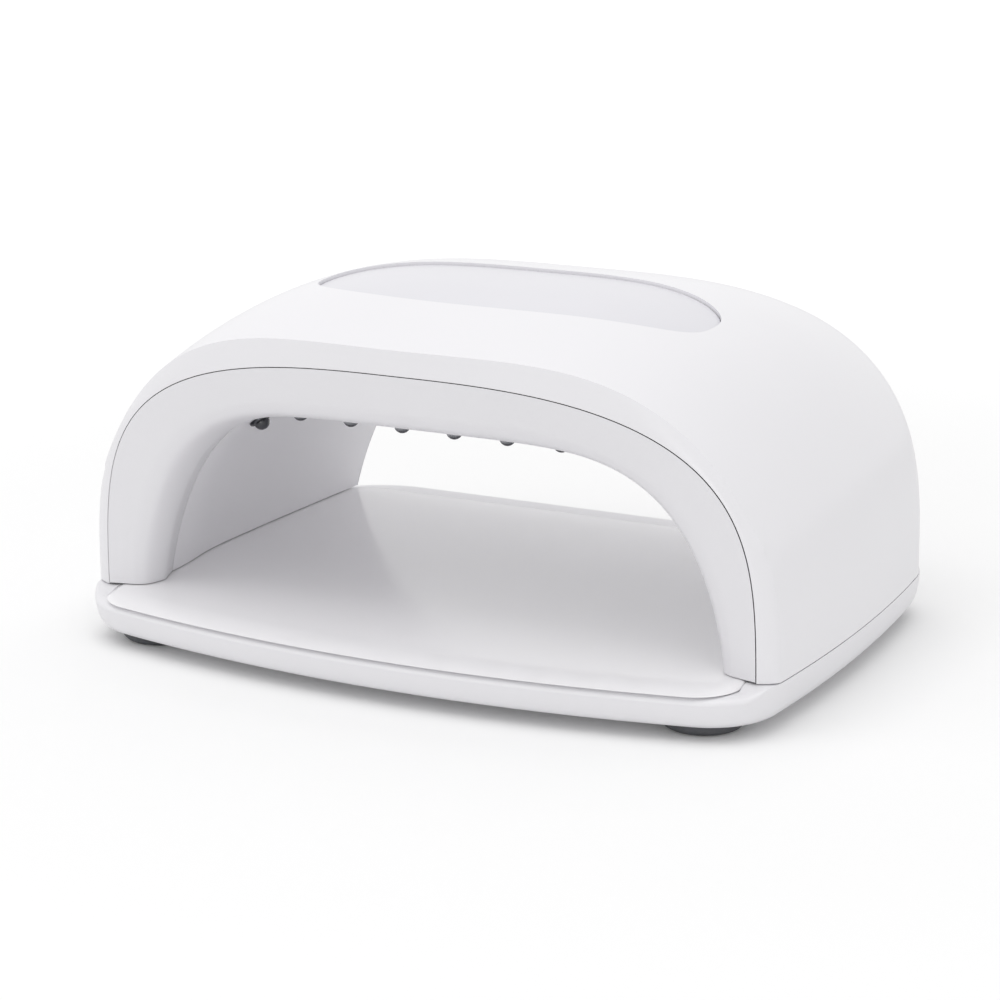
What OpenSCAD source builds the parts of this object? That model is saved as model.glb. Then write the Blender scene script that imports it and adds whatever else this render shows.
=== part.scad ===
// Arch-shaped rechargeable nail lamp: two open-ended shells over a hand tunnel,
// a low base with a slide-out palm tray, LED boards, cells and a rear power panel.
// Millimetres. X is the width, the hand goes in from -Y, Z is up from the floor.

/* [Overall shape] */
// half-width of the crown profile at its foot
crown_half_w = 122.9; // [121:0.1:124]
// height of the crown above the floor
crown_h = 108.9; // [108:0.1:110]
// how square the crown profile is across the width
crown_n = 3.91; // [3.8:0.01:4.1]
// how square the crown profile is up the height
crown_m = 1.5; // [1.4:0.01:1.6]
// radius of the crown from front to back
crown_r = 248; // [240:1:270]
// distance of the highest line ahead of the middle
crown_front = 1; // [0:0.5:4]
// wall of the moulded covers
wall = 2.4; // [2.2:0.1:2.6]
// forward lean of the covers' front face, in degrees
lean = 1.6; // [1.2:0.1:2]

/* [Cover outline] */
// front face of the cover ahead of the middle
cover_front = 68.1; // [67.5:0.1:69]
// back face of the cover behind the middle
cover_back = 84.5; // [84:0.1:85]
// half-width of the cover's outline
cover_half_w = 113.1; // [113:0.1:114]
// bow of the front face
bow_r = 750; // [700:10:900]
// bow of the sides
side_bow_r = 610; // [580:10:700]
// upright front corners
front_corner_r = 4.8; // [4:0.1:6]
// upright back corners
back_corner_r = 30; // [26:1:31]

/* [Base] */
// front of the base ahead of the middle
base_front = 86.4; // [86:0.1:88]
// back of the base behind the middle
base_back = 86.4; // [86:0.1:88]
// bow of the front edge of base and tray
front_bow_r = 411; // [390:1:440]
// front corners of the base
base_corner_r = 24; // [20:0.5:25]
// underside of the base above the floor
base_z = 4; // [3.5:0.1:5]
// seam between base and cover
seam_z = 15.2; // [15:0.1:16]
// how far the lowest edge is tucked in
tuck = 4.5; // [4:0.1:5.5]
// floor of the base
base_floor_t = 2.2; // [1.8:0.1:2.6]
// outer wall of the base
base_wall = 3; // [2.6:0.1:3.4]

/* [Palm tray] */
// thickness of the tray plate
tray_t = 1.8; // [1.6:0.05:2]
// half-width of the tray
tray_half_w = 102.3; // [102:0.1:102.5]
// front corners of the tray
tray_corner_r = 14; // [10:0.5:15]
// rolled front edge, measured inward
tray_roll = 12; // [8:0.5:14]
// sliding clearance beside and under the tray
tray_gap = 0.3; // [0.25:0.05:0.4]
// diameter of the steel discs and of the magnets that hold the tray
magnet_d = 10; // [8:0.5:12]
// thickness of a steel disc
disc_t = 0.6; // [0.5:0.05:0.7]
// height of a magnet
magnet_h = 3; // [2:0.5:4]

/* [Hand tunnel] */
// half-width of the seam between cover and bezel
seam_half_w = 105.8; // [105:0.1:106.5]
// height of the seam between cover and bezel
seam_h = 91.6; // [90:0.1:92.5]
// how square the seam is across the width
seam_n = 2.81; // [2.7:0.01:2.9]
// how square the seam is up the height
seam_m = 4.22; // [4:0.01:4.4]
// half-width of the mouth at its narrowest
mouth_half_w = 97.4; // [96.5:0.1:98.5]
// height of the mouth at its narrowest
mouth_h = 72.3; // [71.5:0.1:73]
// how square the mouth is across the width
mouth_n = 5.51; // [5.3:0.01:5.7]
// how square the mouth is up the height
mouth_m = 1.54; // [1.5:0.01:1.6]
// distance of the narrowest line behind the front face
mouth_depth = 18.2; // [16:0.2:20]
// half-width of the tunnel halfway back
tunnel_half_w = 101.4; // [100.5:0.1:101.6]
// height of the tunnel ceiling above the floor
tunnel_h = 72.9; // [72.5:0.1:73.4]
// how square the tunnel is across the width
tunnel_n = 5.2; // [5.1:0.01:5.5]
// how square the tunnel is up the height
tunnel_m = 1.6; // [1.55:0.01:1.65]
// wall of the tunnel liner
liner_wall = 2; // [1.8:0.1:2]
// seam gap between moulded pieces
seam_gap = 0.3; // [0.25:0.05:0.4]

/* [Feet] */
// radius of a rubber foot
foot_r = 12.5; // [10:0.5:13]
// distance of the feet from the middle, across
foot_x = 89; // [84:0.5:92]
// distance of the front feet from the middle
foot_y = 57.5; // [52:0.5:59]

/* [Top window] */
// half-length of the window
window_half_l = 63; // [60:0.5:64]
// half-depth of the window
window_half_d = 27; // [25:0.5:28]
// middle of the window ahead of the middle of the lamp
window_y = 9; // [7:0.5:10]
// middle of the window to the right of the middle of the lamp
window_x = 6; // [0:0.5:8]
// squareness of the window outline
window_n = 2.6; // [2.4:0.1:3]
// how far the window lies below the crown
window_drop = 1; // [0.8:0.1:1.2]
// thickness of the window
window_t = 1.6; // [1.4:0.1:1.8]
// width of the ledge under the window
ledge_w = 2.5; // [2:0.1:3]

/* [LEDs] */
// diameter of one LED bead
bead_d = 5; // [4.8:0.1:5.1]
// lowest point of the beads
bead_tip_z = 66.4; // [66:0.1:67]
// distance between beads across the lamp
bead_pitch = 17.3; // [16:0.1:18]
// distance between rows of beads from front to back
row_pitch = 22; // [18:0.5:24]
// first row ahead of the middle
row_front = 36; // [34:0.5:38]
// number of rows
rows = 4; // [2:1:4]
// thickness of a circuit board
board_t = 1.6; // [1.2:0.1:1.8]
// distance of the shoulder beads from the middle, across
side_x = 74; // [72:0.5:75]

/* [Battery] */
// diameter of a cell
cell_d = 18.4; // [18:0.1:18.6]
// length of a cell
cell_l = 65; // [64:0.5:66]
// height of the middle of the cells
cell_z = 86.2; // [86:0.1:86.6]
// first row of cells behind the middle
cell_y = 21.5; // [21:0.5:22]

/* [Rear panel] */
// half-width of the rear opening in the cover
rear_half_w = 106; // [105.5:0.1:106.5]
// height of the rear opening in the cover
rear_h = 90; // [89.5:0.1:90.5]
// how square the rear opening is across the width
rear_n = 3.5; // [3.4:0.01:3.6]
// how square the rear opening is up the height
rear_m = 2.6; // [2.5:0.01:2.7]
// how far the rear panel lies inside the cover's outline
panel_inset = 0.5; // [0.4:0.1:0.8]
// thickness of the rear panel
panel_t = 2.4; // [2.2:0.1:2.6]
// distance of the socket and of the switch from the middle, across
jack_x = 42; // [38:0.5:43]
// height of the socket and of the switch
jack_z = 81.6; // [81.4:0.1:81.8]
// radius of the hole for the charging plug
jack_hole_r = 4.5; // [4:0.1:4.8]
// clear width of the rocker's window
rocker_w = 6.6; // [6:0.1:7.4]
// clear height of the rocker's window
rocker_h = 8; // [7.4:0.1:8.2]
// tilt of the rocker to each side, in degrees
rocker_tilt = 8; // [5:0.5:10]

/* [Screws] */
// distance of the screws from the middle, across
screw_x = 105.1; // [105:0.1:105.3]
// radius of a screw's shank
screw_r = 1.25; // [1.1:0.05:1.4]

/* [Hidden] */
steps = 48;
round_fn = 64;
big = 400;
foot_h = base_z;
axis_z = crown_h - crown_r;
sweep = 44;
tray_z = seam_z - tray_t;
tray_back = base_back - 9;
crown_y = -crown_front;
side_y = -11;
lip_y = -cover_front + mouth_depth;
ring_rim = 1.1;
liner_front = -row_front - bead_d / 2 - ring_rim - 1.6;
liner_end = cover_back + 3;
panel_y = cover_back - panel_inset - tan(lean) * (jack_z - seam_z);
foot_gap = 0.3;
liner_z = seam_z + foot_gap;
board_z = tunnel_h + liner_wall + 0.2;
boss_r = 2.35;
screw_ys = [-34, 44];
head_r = 2.5;
head_h = 2;
ledge_t = 1.6;
drop_ledge = window_drop + window_t + 0.1;
hold_t = 1.6;
display_z = 94.2;
row_count = 7;
side_beads = 3;
side_len = 66;
side_board_w = 12;
cell_gap = 2;
cell_pitch = cell_d + 1.2;
cradle_wall = 2;
rocker_y = panel_y + 0.4;
rocker_r = rocker_h / 2 - 0.3;
switch_gap = 0.35;
flange = 0.9;
low_z = 6;
rear_y = cover_back - back_corner_r - 1;
pad_w = 2.2;
tab_ys = [-8, 22, 50];
tab_w = 6.2;
tab_d = 8;
front_dip = 1.4;
dip_y = 60;
rail_xs = [34, 68];
rib_t = 2;
rib_end = 14;
wall_w = 4.4;
magnet_y = 48;
post_x = 56;
post_y = 12;
led_board_w = 120;
white = [0.95, 0.95, 0.96];
soft_white = [0.9, 0.9, 0.92];
panel_grey = [0.86, 0.86, 0.88];
rubber_grey = [0.4, 0.4, 0.42];
steel = [0.75, 0.76, 0.78];
board_green = [0.1, 0.4, 0.25];
black = [0.08, 0.08, 0.09];
cell_blue = [0.15, 0.3, 0.6];

// which piece to draw

// outlines from arcs and formulas

function arc(c, r, a0, a1, k) =
    [for (i = [0 : k]) let (t = a0 + (a1 - a0) * i / k) [c[0] + r * cos(t), c[1] + r * sin(t)]];

// the same without its first point, to carry on from an arc that ends there
function arc_on(c, r, a0, a1, k) =
    [for (i = [1 : k]) let (t = a0 + (a1 - a0) * i / k) [c[0] + r * cos(t), c[1] + r * sin(t)]];

// middle of a fillet that touches two circles from inside
function fillet(a, ra, b, rb, r) =
    let (
        d = norm(b - a),
        u = (b - a) / d,
        p = ((ra - r) * (ra - r) - (rb - r) * (rb - r) + d * d) / (2 * d),
        q = sqrt((ra - r) * (ra - r) - p * p)
    )
    a + p * u + q * [u[1], -u[0]];

function bearing(from, to) = atan2(to[1] - from[1], to[0] - from[0]);

// whole outline from its right half, whose first point is on the middle line
function mirrored(half) = concat(half, [for (i = [len(half) - 1 : -1 : 1]) [-half[i][0], half[i][1]]]);

// right half of an outline: bowed front, corner, bowed side, back corner
function half_plan(front, back, side, fr, cr, br, in) =
    let (
        a = [0, -front + fr],
        b = [side - side_bow_r, side_y],
        r1 = max(cr - in, 0.8),
        r2 = max(br - in, 0.8),
        p = fillet(b, side_bow_r - in, a, fr - in, r1),
        qy = back - in - r2,
        q = [b[0] + sqrt(pow(side_bow_r - in - r2, 2) - pow(qy - b[1], 2)), qy]
    )
    concat(
        arc(a, fr - in, -90, bearing(a, p), 12),
        arc_on(p, r1, bearing(a, p), bearing(b, p), 7),
        arc_on(b, side_bow_r - in, bearing(b, p), bearing(b, q), 8),
        arc_on(q, r2, bearing(b, q), 90, 8)
    );

function cover_plan(in) = mirrored(
    half_plan(cover_front, cover_back, cover_half_w, bow_r, front_corner_r, back_corner_r, in));
function base_plan(in) = mirrored(
    half_plan(base_front, base_back, cover_half_w, front_bow_r, base_corner_r, back_corner_r, in));

// arch from one foot to the other, at and above a given height
function arch(a, h, n, m, foot) =
    let (t0 = asin(pow(foot / h, m / 2)))
    [for (i = [0 : steps])
        let (t = t0 + (180 - 2 * t0) * i / steps, c = cos(t), s = abs(sin(t)))
        [sign(c) * a * pow(abs(c), 2 / n), h * pow(s, 2 / m)]];

function window_plan(grow) =
    [for (i = [0 : 1 : 71])
        let (t = i * 5, c = cos(t), s = sin(t))
        [window_x + sign(c) * (window_half_l + grow) * pow(abs(c), 2 / window_n),
         -window_y + sign(s) * (window_half_d + grow) * pow(abs(s), 2 / window_n)]];

// how far the bowed front face lies behind its middle
function bow_at(x) = bow_r - sqrt(bow_r * bow_r - x * x);
function face_y(x, z) = -cover_front + bow_at(x) - tan(lean) * (z - seam_z);

// solid between closed rings of equal length, capped flat at both ends
module loft(rings) {
    k = len(rings[0]);
    last = len(rings) - 1;
    polyhedron(
        points = [for (r = rings) for (p = r) p],
        faces = concat(
            [for (j = [0 : last - 1]) for (i = [0 : k - 1]) each [
                [j * k + i, (j + 1) * k + i, (j + 1) * k + (i + 1) % k],
                [j * k + i, (j + 1) * k + (i + 1) % k, j * k + (i + 1) % k]]],
            [for (i = [1 : k - 2]) [0, i, i + 1]],
            [for (i = [1 : k - 2]) [last * k, last * k + i + 1, last * k + i]]
        )
    );
}

// thin arch-shaped skin between matching inner and outer arches
module skin(inner, outer) {
    k = len(inner[0]);
    last = len(inner) - 1;
    o = k * (last + 1);
    polyhedron(
        points = concat([for (r = inner) for (p = r) p], [for (r = outer) for (p = r) p]),
        faces = concat(
            [for (j = [0 : last - 1]) for (i = [0 : k - 2]) each [
                [j * k + i, (j + 1) * k + i, (j + 1) * k + i + 1],
                [j * k + i, (j + 1) * k + i + 1, j * k + i + 1],
                [o + j * k + i, o + (j + 1) * k + i + 1, o + (j + 1) * k + i],
                [o + j * k + i, o + j * k + i + 1, o + (j + 1) * k + i + 1]]],
            [for (j = [0 : last - 1]) each [
                [j * k, o + j * k, o + (j + 1) * k],
                [j * k, o + (j + 1) * k, (j + 1) * k],
                [j * k + k - 1, o + (j + 1) * k + k - 1, o + j * k + k - 1],
                [j * k + k - 1, (j + 1) * k + k - 1, o + (j + 1) * k + k - 1]]],
            [for (i = [0 : k - 2]) each [
                [i, i + 1, o + i + 1],
                [i, o + i + 1, o + i],
                [last * k + i, o + last * k + i + 1, last * k + i + 1],
                [last * k + i, o + last * k + i, o + last * k + i + 1]]]
        )
    );
}

// crown: the arch turned about a level line far below the lamp
module crown(in) {
    prof = arch(crown_half_w - in, crown_h - in, crown_n, crown_m, 8);
    translate([0, crown_y, axis_z])
        rotate([0, -90, 0])
            rotate([0, 0, -sweep / 2])
                rotate_extrude(angle = sweep)
                    polygon([for (p = prof) [p[1] - axis_z, p[0]]]);
}

module upright(pts, z0, z1) {
    translate([0, 0, z0])
        linear_extrude(height = z1 - z0)
            polygon(pts);
}

// upright prism that leans forward about the seam line
module leaning(pts, z0, z1) {
    translate([0, 0, seam_z])
        rotate([lean, 0, 0])
            upright(pts, z0 - seam_z, z1 - seam_z);
}

// arch-shaped block running from one depth to another
module arch_block(a, h, n, m, foot, y0, y1) {
    pts = arch(a, h, n, m, foot);
    translate([0, y1, 0])
        rotate([90, 0, 0])
            linear_extrude(height = y1 - y0)
                polygon(pts);
}

module cover_solid(in) {
    intersection() {
        crown(in);
        leaning(cover_plan(in), seam_z - 6, crown_h + 4);
        translate([-big / 2, -big / 2, seam_z])
            cube([big, big, crown_h]);
    }
}

module screw_places(ys, x) {
    for (s = [-1, 1])
        for (y = ys)
            translate([s * x, y, 0])
                children();
}

module top_cover() {
    color(white)
    difference() {
        union() {
            difference() {
                cover_solid(0);
                intersection() {
                    crown(wall);
                    leaning(cover_plan(wall), seam_z - 6, crown_h + 4);
                }
            }
            intersection() {
                difference() {
                    crown(wall - 0.3);
                    crown(drop_ledge + ledge_t);
                }
                upright(window_plan(2), crown_h - 30, crown_h);
            }
            screw_places(screw_ys, screw_x)
                translate([0, 0, seam_z])
                    cylinder(r = boss_r, h = 24, $fn = round_fn);
            screw_places(screw_ys, screw_x + 3.6)
                translate([-3, -0.8, seam_z])
                    cube([6, 1.6, 24]);
        }
        arch_block(seam_half_w, seam_h, seam_n, seam_m, low_z, -big / 2, -cover_front + 20);
        arch_block(rear_half_w, rear_h, rear_n, rear_m, low_z, rear_y, big / 2);
        intersection() {
            crown_above(drop_ledge);
            upright(window_plan(0.15), crown_h - 30, crown_h + 5);
        }
        upright(window_plan(-ledge_w), crown_h - 30, crown_h + 5);
        screw_places(screw_ys, screw_x)
            translate([0, 0, seam_z - 1])
                cylinder(r = screw_r - 0.05, h = 16, $fn = round_fn);
    }
}

// everything above the crown lowered by a given depth
module crown_above(in) {
    difference() {
        upright([[-90, -50], [90, -50], [90, 40], [-90, 40]], crown_h - 30, crown_h + 5);
        crown(in);
    }
}

// bezel: funnel from the seam to the narrowest line, then a short return
// w is the share of the way in, s the share of the way back, t the share of the return
bezel_w = [0, 0.16, 0.4, 0.68, 0.88, 1, 1, 1];
bezel_s = [0, 0.04, 0.16, 0.38, 0.64, 1, 1, 1];
bezel_t = [0, 0, 0, 0, 0, 0, 0.5, 1];
bezel_wall = wall - 0.4;
bezel_grow = [0.02, 0.5, 1.4, bezel_wall, bezel_wall, bezel_wall, bezel_wall, bezel_wall];
function mix(p, q, f) = p + (q - p) * f;
function bezel_ring(j, grow) =
    let (
        o = arch(seam_half_w - seam_gap + grow, seam_h - seam_gap + grow, seam_n, seam_m, liner_z),
        i = arch(mouth_half_w + grow, mouth_h + grow, mouth_n, mouth_m, liner_z)
    )
    [for (k = [0 : steps])
        let (
            p = mix(o[k], i[k], bezel_w[j]),
            y = mix(face_y(o[k][0], o[k][1]), lip_y, bezel_s[j])
        )
        [p[0], mix(y, liner_front - seam_gap - 0.1, bezel_t[j]), p[1]]];

module front_bezel() {
    color(white) {
        skin(
            [for (j = [0 : 7]) bezel_ring(j, 0)],
            [for (j = [0 : 7]) bezel_ring(j, bezel_grow[j])]);
        for (s = [-1, 1])
            translate([s * (seam_half_w - 1.7) - pad_w / 2, face_y(seam_half_w, seam_z) + 0.4, seam_z])
                cube([pad_w, pad_w * 2, pad_w * 2]);
    }
}

liner_ys = [liner_front, -30, -12, 18, 48, liner_end];
liner_as = [-4, -2.9, -0.4, 0, -0.3, -1.2];
function liner_ring(j, grow) =
    [for (p = arch(tunnel_half_w + liner_as[j] + grow, tunnel_h + grow, tunnel_n, tunnel_m, liner_z))
        [p[0], liner_ys[j], p[1]]];

function slope_z(x, in = 0) = tunnel_h * pow(1 - pow(x / (tunnel_half_w - in), tunnel_n), 1 / tunnel_m);
function slope_deg(x) = atan((slope_z(x + 1) - slope_z(x - 1)) / 2);

// places of the ceiling beads; every other row has one bead fewer
led_spots = [for (j = [0 : rows - 1]) for (i = [0 : row_count - 1 - j % 2])
    [(i - (row_count - 1 - j % 2) / 2) * bead_pitch, -row_front + j * row_pitch]];
module led_places() {
    for (p = led_spots)
        translate([p[0], p[1], 0])
            children();
}

module side_places(s) {
    for (i = [0 : side_beads - 1])
        translate([s * side_x, -row_front + (i + 0.5) * row_pitch, slope_z(side_x)])
            rotate([0, -s * slope_deg(side_x), 0])
                children();
}

module tunnel_liner() {
    color(soft_white)
    difference() {
        union() {
            intersection() {
                skin(
                    [for (j = [0 : 5]) liner_ring(j, 0)],
                    [for (j = [0 : 5]) liner_ring(j, liner_wall)]);
                leaning(cover_plan(panel_inset), 0, crown_h);
            }
            for (s = [-1, 1])
                for (y = tab_ys) {
                    translate([s * (tunnel_half_w + liner_wall) - tab_w / 2, y, liner_z])
                        cube([tab_w, tab_d, 2.6]);
                    translate([s * (tunnel_half_w + liner_wall + 1.5) - tab_w / 4, y, seam_z])
                        cube([tab_w / 2, tab_d, 1]);
                }
        }
        led_places()
            translate([0, 0, tunnel_h - 12])
                cylinder(d = bead_d + 0.5, h = 24, $fn = round_fn);
        for (s = [-1, 1])
            side_places(s)
                translate([0, 0, -6])
                    cylinder(d = bead_d + 0.5, h = 14, $fn = round_fn);
        translate([0, sensor_y(), tunnel_h - 8])
            cylinder(d = 4.5, h = 16, $fn = round_fn);
    }
}

function sensor_y() = -row_front + row_pitch * 2.5;

module rear_panel() {
    rim = seam_gap;
    color(white)
    difference() {
        union() {
            intersection() {
                difference() {
                    leaning(cover_plan(panel_inset), seam_z - 4, crown_h);
                    leaning(cover_plan(panel_inset + panel_t), seam_z - 8, crown_h + 4);
                }
                arch_block(rear_half_w - rim, rear_h - rim, rear_n, rear_m, low_z, rear_y + 1, big / 2);
                translate([-big / 2, -big / 2, seam_z])
                    cube([big, big, crown_h]);
            }
            translate([-jack_x - 7, panel_y - panel_t - 12, jack_z - 7.5])
                cube([14, 12.5, 2]);
        }
        arch_block(
            tunnel_half_w + liner_as[5] + liner_wall + rim, tunnel_h + liner_wall + rim,
            tunnel_n, tunnel_m, low_z, rear_y - 10, big / 2);
        translate([-jack_x, panel_y + 5, jack_z])
            rotate([90, 0, 0])
                cylinder(r = jack_hole_r, h = panel_t + 6, $fn = round_fn);
        translate([jack_x - switch_w() / 2, panel_y - panel_t - 5, jack_z - switch_h() / 2])
            cube([switch_w(), panel_t + 10, switch_h()]);
    }
}

function switch_w() = rocker_w + 2.4;
function switch_h() = rocker_h + 2.4;

// rim height of the base: a little lower along the open front
function rim_z(p) = seam_z - front_dip * min(1, max(0, (-dip_y - p[1]) / 14));
base_zs = [0, 0.04, 0.14, 0.32, 0.6, 1];
base_in = [1, 0.72, 0.44, 0.22, 0.08, 0];
function base_ring(j) =
    [for (p = base_plan(base_in[j] * tuck))
        [p[0], p[1], base_z + (rim_z(p) - base_z) * base_zs[j]]];

module base_shell() {
    color(white)
    difference() {
        union() {
            difference() {
                loft([for (j = [0 : 5]) base_ring(j)]);
                upright(base_plan(tuck + base_wall), base_z + base_floor_t, crown_h);
                upright(slot_plan(), tray_z, big);
            }
            for (s = [-1, 1])
                for (x = rail_xs)
                    translate([s * x - rib_t / 2, -base_front + rib_end, base_z + base_floor_t - 0.2])
                        cube([rib_t, base_front + base_back - 2 * rib_end, tray_z - base_z - base_floor_t + 0.2]);
            for (s = [-1, 1])
                translate([s * (tray_half_w + tray_gap + wall_w / 2) - wall_w / 2, -52, base_z + 1])
                    cube([wall_w, 110, seam_z - base_z - 1]);
            magnet_places()
                translate([0, 0, base_z + base_floor_t - 0.2])
                    cylinder(d = magnet_d + 3, h = tray_z - base_z - base_floor_t, $fn = round_fn);
        }
        magnet_places()
            translate([0, 0, tray_z - magnet_h - 0.4])
                cylinder(d = magnet_d + 0.2, h = magnet_h + 2, $fn = round_fn);
        screw_places(screw_ys, screw_x)
            translate([0, 0, base_z - 1])
                cylinder(r = screw_r + 0.15, h = big / 10, $fn = round_fn);
        screw_places(screw_ys, screw_x)
            translate([0, 0, base_z - 1])
                cylinder(r = head_r + 0.1, h = 1 + head_h + 1, $fn = round_fn);
    }
}

module magnet_places() {
    for (s = [-1, 1])
        translate([s * tray_half_w / 2, -magnet_y, 0])
            children();
}

// slot for the tray: open at the front, rounded at the back
function slot_plan() =
    let (w = tray_half_w + tray_gap, r = tray_corner_r + tray_gap, y = tray_back + tray_gap)
    concat(
        [[-w, -big / 2], [w, -big / 2]],
        arc([w - r, y - r], r, 0, 90, 8),
        arc([r - w, y - r], r, 90, 180, 8));

// tray outline: the base's front bow, its own corners, straight sides
function tray_plan(in, roll) =
    let (
        side = tray_half_w - in,
        fr = front_bow_r,
        r = tray_corner_r,
        cx = side - r,
        a = [0, -base_front + fr + in + roll],
        cy = a[1] - sqrt(pow(fr - r, 2) - cx * cx)
    )
    mirrored(concat(
        arc(a, fr, -90, bearing(a, [cx, cy]), 12),
        arc_on([cx, cy], r, bearing(a, [cx, cy]), 0, 8),
        arc([side - r, tray_back - in - r], r, 0, 90, 6)));
// height above the underside, chamfer and roll of each tray ring
tray_edge = 0.2;
tray_zs = [0, tray_edge, tray_edge + 0.525 * (tray_t - tray_edge), tray_edge + 0.8375 * (tray_t - tray_edge), tray_t];
tray_ins = [0, 0, 0.07, 0.3, 1];
function tray_ring(j) =
    [for (p = tray_plan(j == 0 ? 0.3 : 0, tray_roll * tray_ins[j])) [p[0], p[1], tray_z + tray_zs[j]]];

module palm_tray() {
    color(white)
    difference() {
        loft([for (j = [0 : 4]) tray_ring(j)]);
        magnet_places()
            translate([0, 0, tray_z - 1])
                cylinder(d = magnet_d + 0.2, h = 1 + disc_t + 0.1, $fn = round_fn);
    }
}

module tray_discs() {
    color(steel)
    magnet_places()
        translate([0, 0, tray_z + 0.1])
            cylinder(d = magnet_d, h = disc_t, $fn = round_fn);
}

module base_magnets() {
    color(steel)
    magnet_places()
        translate([0, 0, tray_z - magnet_h - 0.4])
            cylinder(d = magnet_d, h = magnet_h, $fn = round_fn);
}

// round rubber foot with a soft lower edge
module foot(x, y) {
    color(rubber_grey)
    translate([x, y, 0])
        rotate_extrude($fn = round_fn)
            polygon(concat(
                [[0, 0]],
                arc([foot_r - 3.4, 3], 3, -90, -20, 8),
                [[foot_r, foot_h], [0, foot_h]]));
}

module foot_front_left() { foot(-foot_x, -foot_y); }
module foot_front_right() { foot(foot_x, -foot_y); }
module foot_back_left() { foot(-foot_x, foot_y); }
module foot_back_right() { foot(foot_x, foot_y); }

module display_window() {
    color(panel_grey)
    intersection() {
        difference() {
            crown(window_drop);
            crown(window_drop + window_t);
        }
        upright(window_plan(-0.1), crown_h - 30, crown_h);
    }
}

spring_xs = [for (x = [-46, -28, 28, 46]) window_x + x];
digit_w = 34;
digit_d = 14;

module display_holder() {
    color(black)
    difference() {
        union() {
            intersection() {
                difference() {
                    crown(drop_ledge + ledge_t + 0.1);
                    crown(drop_ledge + ledge_t + hold_t);
                }
                upright(window_plan(1), crown_h - 30, crown_h);
            }
            for (x = [window_x - post_x, window_x + post_x])
                for (y = [-post_y, post_y])
                    translate([x, -window_y + y, display_z + board_t])
                        cylinder(
                            r = 2.2,
                            h = crown_z(x, y - window_y, drop_ledge + ledge_t + hold_t)
                                - display_z - board_t + 0.8,
                            $fn = round_fn);
        }
        translate([window_x - digit_w / 2 - 0.5, -window_y - digit_d / 2 - 0.5, display_z])
            cube([digit_w + 1, digit_d + 1, 20]);
        for (x = spring_xs)
            translate([x, -window_y, display_z])
                cylinder(r = 3.6, h = 20, $fn = round_fn);
        // room for the board under the frame's low corners
        translate([window_x - post_x - 4 - tray_gap, -window_y - post_y - 4 - tray_gap, display_z - 8])
            cube([2 * post_x + 8 + 2 * tray_gap, 2 * post_y + 8 + 2 * tray_gap, 8 + board_t]);
    }
}

// height of the crown lowered by a given depth
function crown_z(x, y, in) =
    let (z = (crown_h - in) * pow(1 - pow(abs(x) / (crown_half_w - in), crown_n), 1 / crown_m))
    axis_z + sqrt(pow(z - axis_z, 2) - pow(y - crown_y, 2));

module display_board() {
    color(board_green)
    translate([window_x - post_x - 4, -window_y - post_y - 4, display_z])
        cube([2 * post_x + 8, 2 * post_y + 8, board_t]);
}

module digit_display() {
    color(black)
    translate([window_x - digit_w / 2, -window_y - digit_d / 2, display_z + board_t])
        cube([digit_w, digit_d, 6]);
}

// touch pad springs: a wound cone drawn as stacked rings on a stem
module touch_springs() {
    color(steel)
    for (x = spring_xs)
        translate([x, -window_y, display_z + board_t]) {
            cylinder(r = 0.9, h = spring_h(x), $fn = round_fn);
            for (k = [0 : 2])
                translate([0, 0, k * (spring_h(x) - 0.8) / 2])
                    cylinder(r = 3.1 - 0.4 * (2 - k), h = 0.8, $fn = round_fn);
        }
}

function spring_h(x) =
    crown_z(x, -window_y, window_drop + window_t) - display_z - board_t - 0.8;

module led_board() {
    color(board_green)
    translate([-led_board_w / 2, -row_front - 8, board_z])
        cube([led_board_w, row_pitch * (rows - 1) + 40, board_t]);
}

side_lift = 0.4;

module side_board(s) {
    color(board_green)
    translate([s * side_x, -row_front - 3, slope_z(side_x)])
        rotate([0, -s * slope_deg(side_x), 0])
            translate([-side_board_w / 2, 0, liner_wall + side_lift])
                cube([side_board_w, side_len, board_t]);
}

module led_board_left() { side_board(-1); }
module led_board_right() { side_board(1); }

// one bead: round body with a domed end pointing down
module bead(z0, z1) {
    translate([0, 0, z0 + bead_d / 2])
        cylinder(d = bead_d, h = z1 - z0 - bead_d / 2, $fn = round_fn);
    translate([0, 0, z0 + bead_d / 2])
        sphere(d = bead_d, $fn = round_fn);
}

module led_beads() {
    color(soft_white)
    led_places()
        bead(bead_tip_z, board_z);
}

module side_bead_set(s) {
    color(soft_white)
    side_places(s)
        bead(-5, liner_wall + side_lift);
}

module led_beads_left() { side_bead_set(-1); }
module led_beads_right() { side_bead_set(1); }

ring_t = 1.2;
module ring_at(z) {
    translate([0, 0, z])
        difference() {
            cylinder(d = bead_d + 2 * ring_rim, h = ring_t, $fn = round_fn);
            translate([0, 0, -1])
                cylinder(d = bead_d + 0.3, h = ring_t + 2, $fn = round_fn);
        }
}

module led_rings() {
    color(steel) {
        for (p = led_spots)
            translate([p[0], p[1], 0])
                ring_at(slope_z(abs(p[0]) + bead_d / 2 + ring_rim, -liner_as[0]) - ring_t - 0.15);
        for (s = [-1, 1])
            side_places(s)
                ring_at(-ring_t - 1.3);
    }
}

module hand_sensor() {
    color(black)
    translate([0, sensor_y(), tunnel_h - 1.5])
        cylinder(d = 4, h = board_z - tunnel_h + 1.5, $fn = round_fn);
}

module cell_places() {
    for (s = [-1, 1])
        for (k = [0, 1])
            translate([s * (cell_l + cell_gap) / 2, cell_y + k * cell_pitch, cell_z])
                rotate([0, 90, 0])
                    children();
}

module battery_cells() {
    color(cell_blue)
    cell_places() {
        cylinder(d = cell_d, h = cell_l, center = true, $fn = round_fn);
        translate([0, 0, cell_l / 2])
            cylinder(d = 6, h = 0.8, $fn = round_fn);
    }
}

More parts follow.
